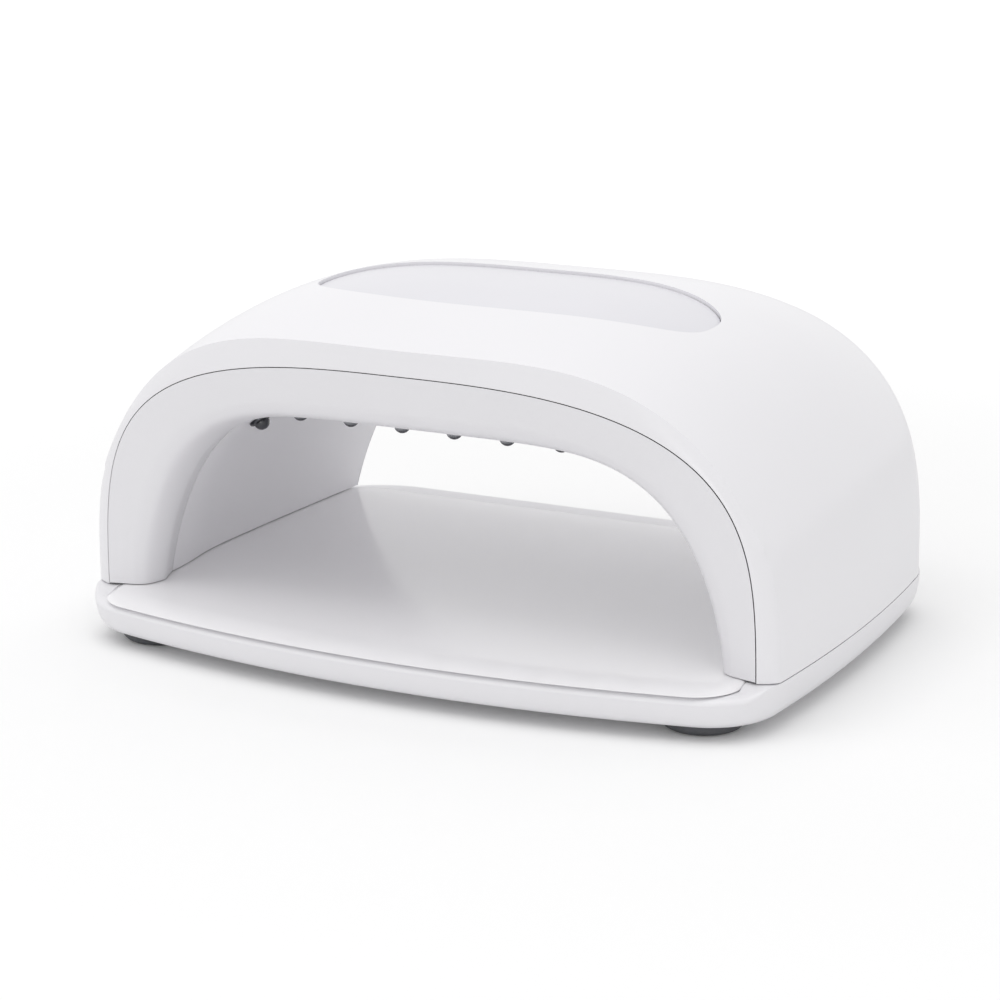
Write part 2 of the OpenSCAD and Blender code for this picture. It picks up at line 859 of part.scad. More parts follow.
module battery_cradle() {
    z0 = board_z + board_t;
    w = 2 * cell_l + cell_gap + 2 * cradle_wall + 3;
    color(black)
    difference() {
        translate([-w / 2, cell_y - cell_d / 2 - cradle_wall, z0])
            cube([w, cell_pitch + cell_d + 2 * cradle_wall, cell_z - z0]);
        for (k = [0, 1])
            translate([0, cell_y + k * cell_pitch, cell_z])
                rotate([0, 90, 0])
                    cylinder(d = cell_d + 0.3, h = w - 2 * cradle_wall, center = true, $fn = round_fn);
    }
}

control_z = 84;
module control_board() {
    color(board_green)
    union() {
        translate([-40, -window_y - 26, control_z])
            cube([80, 42, board_t]);
        translate([-22, -window_y - 12, control_z + board_t - 0.1])
            cube([12, 12, 2.1]);
        translate([14, -window_y - 14, control_z + board_t - 0.1])
            cube([10, 10, 6.1]);
        for (x = [-4, 4])
            translate([x, -window_y + 8, control_z + board_t - 0.1])
                cylinder(r = 3, h = 8, $fn = round_fn);
    }
}

module board_standoffs() {
    color(steel)
    for (x = [-36, 36])
        for (y = [-22, 12])
            translate([x, -window_y + y, board_z + board_t])
                cylinder(r = 2.2, h = control_z - board_z - board_t, $fn = 6);
}

jack_len = 12;
module charge_socket() {
    color(black)
    difference() {
        translate([-jack_x - 5, panel_y - panel_t - 0.2 - jack_len, jack_z - 5.5])
            cube([10, jack_len, 11]);
        translate([-jack_x, panel_y, jack_z])
            rotate([90, 0, 0])
                cylinder(r = 2.8, h = jack_len, $fn = round_fn);
    }
    color(steel)
    translate([-jack_x, panel_y - panel_t - 1.5, jack_z])
        rotate([90, 0, 0])
            cylinder(r = 0.9, h = jack_len - 1.5, $fn = round_fn);
}

module switch_body() {
    w = switch_w() - 0.3;
    h = switch_h() - 0.3;
    color(black)
    difference() {
        union() {
            translate([jack_x - w / 2, panel_y - 10, jack_z - h / 2])
                cube([w, 10.5, h]);
            translate([jack_x - w / 2 - flange, panel_y + 0.22, jack_z - h / 2 - flange])
                cube([w + 2 * flange, 1.2, h + 2 * flange]);
        }
        translate([jack_x - rocker_w / 2, panel_y - 8, jack_z - rocker_h / 2])
            cube([rocker_w, 12, rocker_h]);
    }
    color(steel)
    for (x = [-2.4, 2.4])
        translate([jack_x + x - 0.4, panel_y - 15, jack_z - 2])
            cube([0.8, 5.2, 4]);
}

// rocker: a disc segment with two shallow faces that meet in a valley
module power_rocker() {
    w = rocker_w - 2 * switch_gap;
    color(black)
    translate([jack_x, rocker_y, jack_z])
        rotate([rocker_tilt, 0, 0])
            difference() {
                rotate([0, 90, 0])
                    cylinder(r = rocker_r, h = w, center = true, $fn = round_fn);
                translate([-w, -3 * rocker_r, -2 * rocker_r])
                    cube([2 * w, 2.3 * rocker_r, 4 * rocker_r]);
                for (s = [-1, 1])
                    translate([0, rocker_r / 4, 0])
                        rotate([-s * rocker_tilt, 0, 0])
                            translate([-w, 0, s > 0 ? -0.2 : 0.2 - 2 * rocker_r])
                                cube([2 * w, 2 * rocker_r, 2 * rocker_r]);
            }
}

module case_screws() {
    color(steel)
    screw_places(screw_ys, screw_x) {
        translate([0, 0, base_z + 1])
            cylinder(r = head_r, h = head_h, $fn = round_fn);
        translate([0, 0, base_z + 1])
            cylinder(r = screw_r - 0.05, h = 24, $fn = round_fn);
    }
}

top_cover();
front_bezel();
tunnel_liner();
rear_panel();
base_shell();
palm_tray();
tray_discs();
base_magnets();
foot_front_left();
foot_front_right();
foot_back_left();
foot_back_right();
display_window();
display_holder();
display_board();
digit_display();
touch_springs();
led_board();
led_board_left();
led_board_right();
led_rings();
led_beads();
led_beads_left();
led_beads_right();
hand_sensor();
battery_cradle();
battery_cells();
control_board();
board_standoffs();
charge_socket();
switch_body();
power_rocker();
case_screws();
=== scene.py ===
# Arch-shaped rechargeable nail lamp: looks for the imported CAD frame.
import math

import bmesh
import bpy
import numpy as np
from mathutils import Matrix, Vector


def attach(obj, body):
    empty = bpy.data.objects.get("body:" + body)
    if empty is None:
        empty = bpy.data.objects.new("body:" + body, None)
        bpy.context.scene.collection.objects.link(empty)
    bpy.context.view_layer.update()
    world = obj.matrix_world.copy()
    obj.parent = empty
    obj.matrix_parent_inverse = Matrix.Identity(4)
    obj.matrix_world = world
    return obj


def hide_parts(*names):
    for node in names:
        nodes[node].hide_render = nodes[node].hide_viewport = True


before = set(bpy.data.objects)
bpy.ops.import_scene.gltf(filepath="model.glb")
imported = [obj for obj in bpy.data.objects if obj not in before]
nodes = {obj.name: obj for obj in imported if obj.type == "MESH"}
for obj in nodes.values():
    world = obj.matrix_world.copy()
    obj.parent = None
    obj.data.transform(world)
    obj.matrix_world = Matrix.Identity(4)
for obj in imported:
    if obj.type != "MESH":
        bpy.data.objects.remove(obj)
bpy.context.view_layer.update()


# Camera. The product shot: the lamp turned a little to its left, seen from just above
# through a long lens. The lens width is given for a square frame.
CAMERA_PLACE = (0.3931, -0.7653, 0.2647)
CAMERA_AIM = (0.0315, -0.0681, 0.0595)
cam_data = bpy.data.cameras.new("studio_camera")
cam = bpy.data.objects.new("studio_camera", cam_data)
bpy.context.scene.collection.objects.link(cam)
cam.location = CAMERA_PLACE
cam.rotation_mode = "QUATERNION"
cam.rotation_quaternion = (Vector(CAMERA_AIM) - Vector(CAMERA_PLACE)).to_track_quat("-Z", "Y")
cam_data.sensor_width = 36.0
cam_data.lens = 105.77
cam_data.clip_start = 0.01
cam_data.clip_end = 20.0
bpy.context.scene.camera = cam


# The outer cover: one injection moulding in white gloss ABS, 2.4 mm thick. Its
# crown is turned about a level line, its sides and back corners are rounded,
# and its flat front band ends in a crisp edge. Screwed to the base from below.
def srgb(hex_colour):
    """Linear RGBA of an sRGB hex colour."""
    out = []
    for i in (0, 2, 4):
        c = int(hex_colour[i:i + 2], 16) / 255
        out.append(c / 12.92 if c <= 0.04045 else ((c + 0.055) / 1.055) ** 2.4)
    return (*out, 1.0)


def new_material(name):
    mat = bpy.data.materials.new(name)
    mat.use_nodes = True
    tree = mat.node_tree
    tree.nodes.clear()
    return mat, tree


def add(tree, kind, links=None, **settings):
    """Adds a node, sets its attributes and sockets, and links its inputs."""
    node = tree.nodes.new(kind)
    for key, value in settings.items():
        if hasattr(node, key):
            setattr(node, key, value)
        else:
            node.inputs[key.replace("_", " ")].default_value = value
    for socket, source in (links or {}).items():
        tree.links.new(source, node.inputs[socket])
    return node


cover_abs, t = new_material("cover_white_gloss_abs")
# Polished mould, so broad soft reflections; a faint waviness keeps them from
# looking like glass, and the resin's tone drifts very slightly.
where = add(t, "ShaderNodeTexCoord")
drift = add(t, "ShaderNodeTexNoise", {"Vector": where.outputs["Object"]}, Scale=14.0, Detail=2.0)
tone = add(t, "ShaderNodeValToRGB", {"Fac": drift.outputs["Fac"]})
tone.color_ramp.elements[0].color = srgb("EAE9EC")
tone.color_ramp.elements[1].color = srgb("EEEDF0")
wave = add(t, "ShaderNodeTexNoise", {"Vector": where.outputs["Object"]}, Scale=260.0, Detail=1.0)
relief = add(t, "ShaderNodeBump", {"Height": wave.outputs["Fac"]}, Strength=0.08, Distance=0.0002)
surface = add(t, "ShaderNodeBsdfPrincipled",
              {"Base Color": tone.outputs["Color"], "Normal": relief.outputs["Normal"]},
              Roughness=0.28, IOR=1.53)
add(t, "ShaderNodeOutputMaterial", {"Surface": surface.outputs["BSDF"]})

SEAM_Z = 15.2          # cover sits on the base here, mm
CROWN_A, CROWN_H, CROWN_N, CROWN_M = 122.9, 108.87, 3.91, 1.5
CROWN_Y, CROWN_R = -1.0, 248.0
AXIS_Z = CROWN_H - CROWN_R
FRONT, BACK, HALF_W, BOW_R, SIDE_BOW_R = 68.1, 84.5, 113.07, 750.0, 610.0
LEAN = math.radians(1.6)
SIDE_Y, FRONT_R, BACK_R = -11.0, 4.8, 30.0
WALL = 2.4
BAND_LEAN = 2.2        # extra lean of the front band, mm, 100 mm from the middle
SEAM_EASE = 0.12       # size of the softened edge along the seam
END_ROOM = 14.0        # the last stretch before the back end, with closer rings


def touching(bx, by, rb, ax, ay, ra):
    """Where two circles cross, on the side of the front right corner."""
    d = math.hypot(ax - bx, ay - by)
    ux, uy = (ax - bx) / d, (ay - by) / d
    p = (rb * rb - ra * ra + d * d) / (2 * d)
    q = math.sqrt(rb * rb - p * p)
    return bx + p * ux + q * uy, by + p * uy - q * ux


def cover_depth(x, y, z, blend=5.0):
    """Distance in mm outside the cover's sides and crown, negative inside, softly joined."""
    x = np.abs(x)
    r = np.hypot(y - CROWN_Y, z - AXIS_Z) + AXIS_Z
    level = (x / CROWN_A) ** CROWN_N + (np.maximum(r, 0) / CROWN_H) ** CROWN_M
    # scaled to read about one per mm near the surface
    crown = (level ** 0.24 - 1) * 104
    yl = y * math.cos(LEAN) + (z - SEAM_Z) * math.sin(LEAN)
    bx, by = HALF_W - SIDE_BOW_R, SIDE_Y
    side = np.hypot(x - bx, yl - by) - SIDE_BOW_R
    qy = BACK - BACK_R
    qx = bx + math.sqrt((SIDE_BOW_R - BACK_R) ** 2 - (qy - by) ** 2)
    back = np.hypot(np.maximum(x - qx, 0), np.maximum(yl - qy, 0)) - BACK_R
    # the front corner's middle touches the bowed face and the bowed side
    ax, ay = 0.0, -FRONT + BOW_R
    px, py = touching(bx, by, SIDE_BOW_R - FRONT_R, ax, ay, BOW_R - FRONT_R)
    vx, vy = x - px, yl - py
    wedge = ((px - bx) * vy - (py - by) * vx < 0) & ((px - ax) * vy - (py - ay) * vx > 0)
    plan = np.where(yl > qy, back, np.where(wedge, np.hypot(vx, vy) - FRONT_R, side))
    gap = np.maximum(blend - np.abs(crown - plan), 0)
    return np.maximum(crown, plan) + gap * gap / (4 * blend)


def radial(theta, y, inset):
    """Distance from the line (0, y, seam) to the surface that lies `inset` inside the cover."""
    lo, hi = np.full(np.shape(theta), 30.0), np.full(np.shape(theta), 150.0)
    for _ in range(44):
        mid = (lo + hi) / 2
        out = cover_depth(mid * np.cos(theta), y, SEAM_Z + mid * np.sin(theta)) + inset > 0
        hi, lo = np.where(out, mid, hi), np.where(out, lo, mid)
    return (lo + hi) / 2


def arch_radial(theta, a, h, n, m, base=SEAM_Z):
    """The same distance to an arch |x/a|^n + (z/h)^m = 1 whose z counts from the floor."""
    lo, hi = np.zeros(np.shape(theta)), np.full(np.shape(theta), 150.0)
    for _ in range(44):
        mid = (lo + hi) / 2
        out = (np.abs(mid * np.cos(theta)) / a) ** n + ((base + mid * np.sin(theta)) / h) ** m > 1
        hi, lo = np.where(out, mid, hi), np.where(out, lo, mid)
    return (lo + hi) / 2


def even_angles(radius_of, count):
    """Angles from one foot to the other, evenly spaced along the curve they draw."""
    fine = np.linspace(0, math.pi, 4001)
    r = radius_of(fine)
    pts = np.stack([r * np.cos(fine), r * np.sin(fine)])
    run = np.concatenate([[0], np.cumsum(np.hypot(*np.diff(pts)))])
    return np.interp(np.linspace(0, run[-1], count), run, fine)


def face_y(x, z):
    """The bowed, slightly leaning front face."""
    return -FRONT + BOW_R - np.sqrt(BOW_R ** 2 - x * x) - math.tan(LEAN) * (z - SEAM_Z)


def back_y(z):
    return BACK - math.tan(LEAN) * (z - SEAM_Z)


def polar(theta, rho, y):
    x, z = rho * np.cos(theta), SEAM_Z + rho * np.sin(theta)
    return np.stack([x, np.broadcast_to(y, rho.shape), z], -1)


def front_ring(theta, inset):
    """Where the cover's sides and crown meet a front face moved back by `inset`.

    The band leans back a little more towards the sides."""
    y = np.full(theta.shape, -60.0)
    for _ in range(14):
        rho = radial(theta, y, inset)
        x = rho * np.cos(theta)
        y = face_y(x, SEAM_Z + rho * np.sin(theta)) + inset + 0.002 + BAND_LEAN * (x / 100) ** 2
    return radial(theta, y, inset), y


def back_limit(theta, opening, inset):
    """Depth at which the cover ends: its back face, or where the rear opening cuts its corner."""
    y_plane = back_y(SEAM_Z + opening * np.sin(theta)) - inset
    lo, hi = np.full(theta.shape, 40.0), y_plane.copy()
    cut = radial(theta, y_plane, inset) < opening
    for _ in range(40):
        mid = (lo + hi) / 2
        small = radial(theta, mid, inset) < opening
        hi, lo = np.where(small, mid, hi), np.where(small, lo, mid)
    return np.where(cut, lo, y_plane)


def mesh_object(name, points, faces, material, smooth_angle=32.0, weld=0.01):
    """A welded, outward-facing mesh in metres from points in mm."""
    bm = bmesh.new()
    verts = [bm.verts.new(Vector(p) * 0.001) for p in np.asarray(points).reshape(-1, 3)]
    for f in faces:
        ring = [verts[i] for i in f]
        if len(set(ring)) > 2:
            try:
                bm.faces.new(ring)
            except ValueError:
                pass
    bmesh.ops.remove_doubles(bm, verts=bm.verts, dist=weld * 0.001)
    bmesh.ops.dissolve_degenerate(bm, edges=bm.edges, dist=1e-7)
    bmesh.ops.recalc_face_normals(bm, faces=bm.faces)
    mesh = bpy.data.meshes.new(name)
    bm.to_mesh(mesh)
    bm.free()
    obj = bpy.data.objects.new(name, mesh)
    bpy.context.scene.collection.objects.link(obj)
    mesh.materials.append(material)
    smooth(obj, smooth_angle)
    return obj


def smooth(obj, degrees):
    """Smooth shading that breaks at real edges."""
    mesh = obj.data
    mesh.shade_smooth()
    bm = bmesh.new()
    bm.from_mesh(mesh)
    for e in bm.edges:
        e.smooth = len(e.link_faces) == 2 and e.calc_face_angle(0) < math.radians(degrees)
    bm.to_mesh(mesh)
    bm.free()


def loops_mesh(loops):
    """Quads round closed sections that follow one another, with both end sections capped in strips."""
    loops = np.asarray(loops)
    k, m = loops.shape[:2]
    faces = []
    for i in range(k - 1):
        for j in range(m):
            n = (j + 1) % m
            faces.append((i * m + j, (i + 1) * m + j, (i + 1) * m + n, i * m + n))
    for i in (0, k - 1):
        for j in range(m // 2 - 1):
            a, b = i * m + j, i * m + j + 1
            c, d = i * m + m - 2 - j, i * m + m - 1 - j
            faces.append((a, b, c, d))
    return loops.reshape(-1, 3), faces


def modified(obj, apply):
    """Puts modifiers on with `apply`, bakes them into the mesh and clears them."""
    apply(obj)
    bpy.context.view_layer.update()
    done = bpy.data.meshes.new_from_object(obj.evaluated_get(bpy.context.evaluated_depsgraph_get()))
    old = obj.data
    obj.modifiers.clear()
    obj.data = done
    bpy.data.meshes.remove(old)
    return obj


SEAM_ARCH = (105.8, 91.6, 2.81, 4.22)
REAR_ARCH = (106.0, 90.0, 3.5, 2.6)
theta = even_angles(lambda t: radial(t, np.full(t.shape, -40.0), 0.0), 181)
opening = arch_radial(theta, *SEAM_ARCH)
rho_f, y_f = front_ring(theta, 0.0)
rho_fi, y_fi = front_ring(theta, WALL)
rear = arch_radial(theta, *REAR_ARCH)
y_b = back_limit(theta, rear, 0.0)
y_bi = back_limit(theta, rear, WALL)
rho_b = np.maximum(radial(theta, y_b, 0.0), rear)
rho_bi = np.maximum(radial(theta, y_bi, WALL), rear)
ease = 5.0 * (1 - np.cos(np.linspace(0, math.pi / 2, 9)[1:]))
reach = np.concatenate([ease, np.linspace(8, 120, 36)])
x_open, z_open = opening * np.cos(theta), SEAM_Z + opening * np.sin(theta)
y_open = face_y(x_open, z_open)
outer, inner = [polar(theta, opening, y_open + SEAM_EASE)], [polar(theta, opening, y_open + WALL)]
for f in (0.03, 0.1, 0.3, 0.55, 0.8, 1.0):
    sag = BAND_LEAN * (x_open / 100) ** 2 * f * (1 - f)
    outer.append(polar(theta, opening + (rho_f - opening) * f, y_open + (y_f - y_open) * f - sag))
    inner.append(polar(theta, opening + (rho_fi - opening) * f,
                       y_open + WALL + (y_fi - y_open - WALL) * f - sag))
outer[1] = polar(theta, opening + SEAM_EASE, y_open)
for d in reach:
    for rows, y0, y1, inset in ((outer, y_f, y_b, 0.0), (inner, y_fi, y_bi, WALL)):
        y = y0 + np.where(d <= 5.0, d, (y1 - y0 - END_ROOM) * d / reach[-1])
        rows.append(polar(theta, radial(theta, y, inset), y))
for f in np.sin(np.linspace(0, math.pi / 2, 14))[1:-1]:
    for rows, y1, inset in ((outer, y_b, 0.0), (inner, y_bi, WALL)):
        y = y1 - END_ROOM * (1 - f)
        rows.append(polar(theta, radial(theta, y, inset), y))
outer += [polar(theta, rho_b, y_b), polar(theta, rear, y_b)]
inner += [polar(theta, rho_bi, y_bi), polar(theta, rear, y_bi)]
loops = np.stack(outer + inner[::-1], 1)
points, faces = loops_mesh(loops)
top_cover = mesh_object("top_cover_shell", points, faces, cover_abs)

WIN_L, WIN_D, WIN_X, WIN_Y, WIN_N = 63.0, 27.0, 6.0, 9.0, 2.6


def window_outline(grow, count=160):
    t = np.linspace(0, 2 * math.pi, count, endpoint=False)
    c, s = np.cos(t), np.sin(t)
    return np.stack([WIN_X + np.sign(c) * (WIN_L + grow) * np.abs(c) ** (2 / WIN_N),
                     -WIN_Y + np.sign(s) * (WIN_D + grow) * np.abs(s) ** (2 / WIN_N)], -1)


def stacked(rows):
    """Points and faces of closed rings of equal length laid on one another, capped at both ends."""
    k, top = len(rows[0]), (len(rows) - 1) * len(rows[0])
    faces = [(j * k + i, j * k + (i + 1) % k, (j + 1) * k + (i + 1) % k, (j + 1) * k + i)
             for j in range(len(rows) - 1) for i in range(k)]
    return np.concatenate(rows), faces + [tuple(range(k)), tuple(range(top, top + k))]


def prism(name, outline, z0, z1):
    """A straight-walled cutter between two heights."""
    rows = [np.c_[outline, np.full(len(outline), z)] for z in (z0, z1)]
    return mesh_object(name, *stacked(rows), cover_abs)


cutter = prism("window_cutter", window_outline(0.15), 80.0, 120.0)


def cut_window(obj):
    cut = obj.modifiers.new("window", "BOOLEAN")
    cut.operation = "DIFFERENCE"
    cut.solver = "EXACT"
    cut.object = cutter


modified(top_cover, cut_window)
bpy.data.objects.remove(cutter)
smooth(top_cover, 32.0)
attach(top_cover, "lamp_body")
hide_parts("top_cover")


# The white surround of the hand opening: a separate glossy moulding clipped
# behind the cover's front band. It funnels in to the narrowest line of the
# mouth and rolls over there, with a soft crease halfway down.
bezel_abs, t = new_material("bezel_white_satin_abs")
# A finer polish than the cover's, so the roll at the mouth carries a long
# soft highlight.
where = add(t, "ShaderNodeTexCoord")
drift = add(t, "ShaderNodeTexNoise", {"Vector": where.outputs["Object"]}, Scale=18.0, Detail=2.0)
# Its white is set a shade darker than the cover's: painted shade for the front-facing surround.
tone = add(t, "ShaderNodeValToRGB", {"Fac": drift.outputs["Fac"]})
tone.color_ramp.elements[0].color = srgb("E5E4E7")
tone.color_ramp.elements[1].color = srgb("E9E8EB")
wave = add(t, "ShaderNodeTexNoise", {"Vector": where.outputs["Object"]}, Scale=300.0, Detail=1.0)
relief = add(t, "ShaderNodeBump", {"Height": wave.outputs["Fac"]}, Strength=0.06, Distance=0.0002)
surface = add(t, "ShaderNodeBsdfPrincipled",
              {"Base Color": tone.outputs["Color"], "Normal": relief.outputs["Normal"]},
              Roughness=0.33, IOR=1.53)
add(t, "ShaderNodeOutputMaterial", {"Surface": surface.outputs["BSDF"]})

LINER_Z = SEAM_Z + 0.3            # the bezel's and the liner's feet clear the tray
LIP_Y = -FRONT + 18.2
LINER_Y0 = -41.2
SEAM_LINE = 0.22                  # width of the dark line round the bezel
MOUTH_ARCH = (97.4, 72.3, 5.51, 1.54)
LEG_SWELL = 3.4                   # how much the legs thicken towards the tray
# share of the way in, of the way back to the lip, and of the return to the liner
weights = [0, 0.2, 0.43, 0.66, 0.87, 1.0, 1.0, 1.0]
depths = [0, 0.06, 0.13, 0.22, 0.43, 0.94, 1.0, 1.0]
returns = [0, 0, 0, 0, 0, 0.02, 0.5, 1.0]
thick = [0.02, 0.5, 1.4, 2.0, 2.0, 2.0, 2.0, 2.0]


def spline(values, stations):
    """Smooth curve through evenly numbered values (Catmull-Rom)."""
    v = np.asarray([2 * values[0] - values[1], *values, 2 * values[-1] - values[-2]], float)
    i = np.minimum(stations.astype(int), len(values) - 2)
    f = stations - i
    p0, p1, p2, p3 = v[i], v[i + 1], v[i + 2], v[i + 3]
    return 0.5 * (2 * p1 + (p2 - p0) * f + (2 * p0 - 5 * p1 + 4 * p2 - p3) * f ** 2
                  + (3 * p1 - p0 - 3 * p2 + p3) * f ** 3)


def arch_points(a, h, n, m, foot, count=181):
    """An arch from foot to foot, spaced by the angle that draws it."""
    t0 = math.asin((foot / h) ** (m / 2))
    t = np.linspace(t0, math.pi - t0, count)
    c, s = np.cos(t), np.abs(np.sin(t))
    return np.sign(c) * a * np.abs(c) ** (2 / n), h * s ** (2 / m)


def grown_arch(sizes, grow):
    a, h, n, m = sizes
    return arch_points(a + grow, h + grow, n, m, LINER_Z)


def bezel_rows(share):
    """The bezel's visible skin (share 0) or its hidden back (share 1), from seam to liner."""
    s = np.linspace(0, 7, 57)
    rows = []
    for wj, dj, rj, tj in zip(*(spline(v, s) for v in (weights, depths, returns, thick))):
        g = tj * share
        ox, oz = grown_arch(SEAM_ARCH, g - SEAM_LINE)
        ix, iz = grown_arch(MOUTH_ARCH, g)
        ix = ix - np.sign(ix) * LEG_SWELL * (1 - rj) * np.clip(1 - iz / 74, 0, 1) ** 0.6
        y0 = face_y(ox, oz)
        y = y0 + (LIP_Y - y0) * dj
        y = y + (LINER_Y0 - 0.4 - y) * rj
        rows.append(np.stack([ox + (ix - ox) * wj, y, oz + (iz - oz) * wj], -1))
    return rows


inside, outside = bezel_rows(0.0), bezel_rows(1.0)
loops = np.stack(inside + outside[::-1], 1)
points, faces = loops_mesh(loops)
front_bezel = mesh_object("front_bezel_surround", points, faces, bezel_abs)
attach(front_bezel, "lamp_body")
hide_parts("front_bezel")


# The reflector over the hand: a thin white arch with a satin inner face that
# spreads the beads' light. It is pierced for every bead and stands on the base
# with small tabs, outside the tray.
liner_abs, t = new_material("liner_white_satin_abs")
# Etched mould, so no sharp reflections inside the tunnel.
where = add(t, "ShaderNodeTexCoord")
grain = add(t, "ShaderNodeTexNoise", {"Vector": where.outputs["Object"]}, Scale=900.0, Detail=2.0)
drift = add(t, "ShaderNodeTexNoise", {"Vector": where.outputs["Object"]}, Scale=20.0, Detail=2.0)
# Its white is set lighter than the cover's: painted light that brightens the shaded tunnel.
tone = add(t, "ShaderNodeValToRGB", {"Fac": drift.outputs["Fac"]})
tone.color_ramp.elements[0].color = srgb("F2F1F4")
tone.color_ramp.elements[1].color = srgb("F5F4F7")
relief = add(t, "ShaderNodeBump", {"Height": grain.outputs["Fac"]}, Strength=0.15, Distance=0.0001)
surface = add(t, "ShaderNodeBsdfPrincipled",
              {"Base Color": tone.outputs["Color"], "Normal": relief.outputs["Normal"]},
              Roughness=0.42, IOR=1.53)
add(t, "ShaderNodeOutputMaterial", {"Surface": surface.outputs["BSDF"]})

LINER_A, LINER_H, LINER_N, LINER_M = 101.4, 72.9, 5.2, 1.6
LINER_WALL = 2.0
liner_y = [LINER_Y0, -30, -12, 18, 48, 87.5]
liner_a = [-4, -2.9, -0.4, 0, -0.3, -1.2]


def liner_rows(grow):
    """The liner's inner face, or its outer face when grown by the wall."""
    s = np.linspace(0, 5, 61)
    rows = []
    for y, da in zip(spline(liner_y, s), spline(liner_a, s)):
        x, z = grown_arch((LINER_A + da, LINER_H, LINER_N, LINER_M), grow)
        limit = back_y(z) - 0.5
        yy = np.minimum(y, limit)
        # the back corners of the cover trim the liner's feet
        qy = BACK - BACK_R
        qx = HALF_W - SIDE_BOW_R + math.sqrt((SIDE_BOW_R - BACK_R) ** 2 - (qy - SIDE_Y) ** 2)
        over = np.abs(x) - qx
        depth = np.sqrt(np.maximum((BACK_R - 0.5) ** 2 - np.maximum(over, 0) ** 2, 0))
        corner = qy + depth - math.tan(LEAN) * (z - SEAM_Z)
        rows.append(np.stack([x, np.minimum(yy, corner), z], -1))
    return rows


loops = np.stack(liner_rows(0.0) + liner_rows(LINER_WALL)[::-1], 1)
points, faces = loops_mesh(loops)
tunnel_liner = mesh_object("tunnel_liner_reflector", points, faces, liner_abs)
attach(tunnel_liner, "lamp_body")
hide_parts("tunnel_liner")


# The low white tub under everything: gloss ABS with a drafted wall, a softly
# rounded lower edge and a slot open at the front that the tray slides in.
base_abs, t = new_material("base_white_gloss_abs")
# Same resin and polish as the cover.
where = add(t, "ShaderNodeTexCoord")
drift = add(t, "ShaderNodeTexNoise", {"Vector": where.outputs["Object"]}, Scale=14.0, Detail=2.0)
tone = add(t, "ShaderNodeValToRGB", {"Fac": drift.outputs["Fac"]})
tone.color_ramp.elements[0].color = srgb("E9E8EB")
tone.color_ramp.elements[1].color = srgb("EDECEF")
wave = add(t, "ShaderNodeTexNoise", {"Vector": where.outputs["Object"]}, Scale=260.0, Detail=1.0)
relief = add(t, "ShaderNodeBump", {"Height": wave.outputs["Fac"]}, Strength=0.08, Distance=0.0002)
surface = add(t, "ShaderNodeBsdfPrincipled",
              {"Base Color": tone.outputs["Color"], "Normal": relief.outputs["Normal"]},
              Roughness=0.3, IOR=1.53)
add(t, "ShaderNodeOutputMaterial", {"Surface": surface.outputs["BSDF"]})

BASE_FRONT, BASE_BACK, BASE_BOW, BASE_CORNER = 86.4, 86.4, 411.0, 24.0
BASE_Z, TUCK = 4.0, 4.5
TRAY_Z, TRAY_T, TRAY_W, TRAY_R = 13.4, 1.8, 102.3, 14.0
TRAY_BACK = BASE_BACK - 9


def arc(cx, cy, r, a0, a1, n, first=True):
    """Points on a circle between two angles in degrees."""
    t = np.radians(np.linspace(a0, a1, n + 1))[0 if first else 1:]
    return np.stack([cx + r * np.cos(t), cy + r * np.sin(t)], -1)


def base_plan(inset):
    """The base's outline, moved in by `inset`."""
    r1, r2 = BASE_CORNER - inset, BACK_R - inset
    ax, ay = 0.0, -BASE_FRONT + BASE_BOW
    bx, by = HALF_W - SIDE_BOW_R, SIDE_Y
    ra, rb = SIDE_BOW_R - inset, BASE_BOW - inset
    cx, cy = touching(bx, by, ra - r1, ax, ay, rb - r1)
    qy = BASE_BACK - inset - r2
    qx = bx + math.sqrt((ra - r2) ** 2 - (qy - by) ** 2)
    front_end = math.degrees(math.atan2(cy - ay, cx - ax))
    side_start = math.degrees(math.atan2(cy - by, cx - bx))
    side_end = math.degrees(math.atan2(qy - by, qx - bx))
    half = np.concatenate([
        arc(ax, ay, rb, -90, front_end, 40),
        arc(cx, cy, r1, front_end, side_start, 16, False),
        arc(bx, by, ra, side_start, side_end, 30, False),
        arc(qx, qy, r2, side_end, 90, 18, False)])
    return np.concatenate([half, half[:0:-1] * [-1, 1]])


FOOT_LINE = 0.35       # dark line under the cover's edge, mm
RIM_DIP = 1.45         # the rim is lower where the tray comes out
RIM_ROUND = (3.6, 1.9)  # breadth and height of the rounded rim ahead of the cover
rise = np.array([0, 0.025, 0.0875, 0.1875, 0.3375, 0.525, 0.75, 1.0])
draft = np.array([1, 0.8, 0.6, 0.43, 0.28, 0.17, 0.08, 0.02])
full = base_plan(0.0)
# 0 beside and under the cover, rising to 1 in front of it
ahead = np.clip((face_y(np.minimum(np.abs(full[:, 0]), 106), SEAM_Z) - full[:, 1] + 1) / 9, 0, 1)
ahead = ahead * ahead * (3 - 2 * ahead)
rim = SEAM_Z - FOOT_LINE - RIM_DIP * ahead
rows = [np.c_[base_plan(dr * TUCK), BASE_Z + (rim - 2.0 - BASE_Z) * up] for up, dr in zip(rise, draft)]
for a in np.radians(np.linspace(0, 90, 8)):
    inward = base_plan(0.25 + RIM_ROUND[0] * (1 - math.cos(a))) - base_plan(0.25)
    drop = (RIM_ROUND[1] * ahead + 0.01) * (1 - math.sin(a))
    rows.append(np.c_[full + inward * ahead[:, None], rim - drop])
points, faces = stacked(rows)
faces.pop()            # the sloping top is closed in strips from side to side instead
k = len(rows[0])
top = (len(rows) - 1) * k
half = k // 2
faces += [(top + i, top + i + 1, top + k - 1 - i, top + (k - i) % k) for i in range(0, half)]
base_shell = mesh_object("base_shell_tub", points, faces, base_abs)

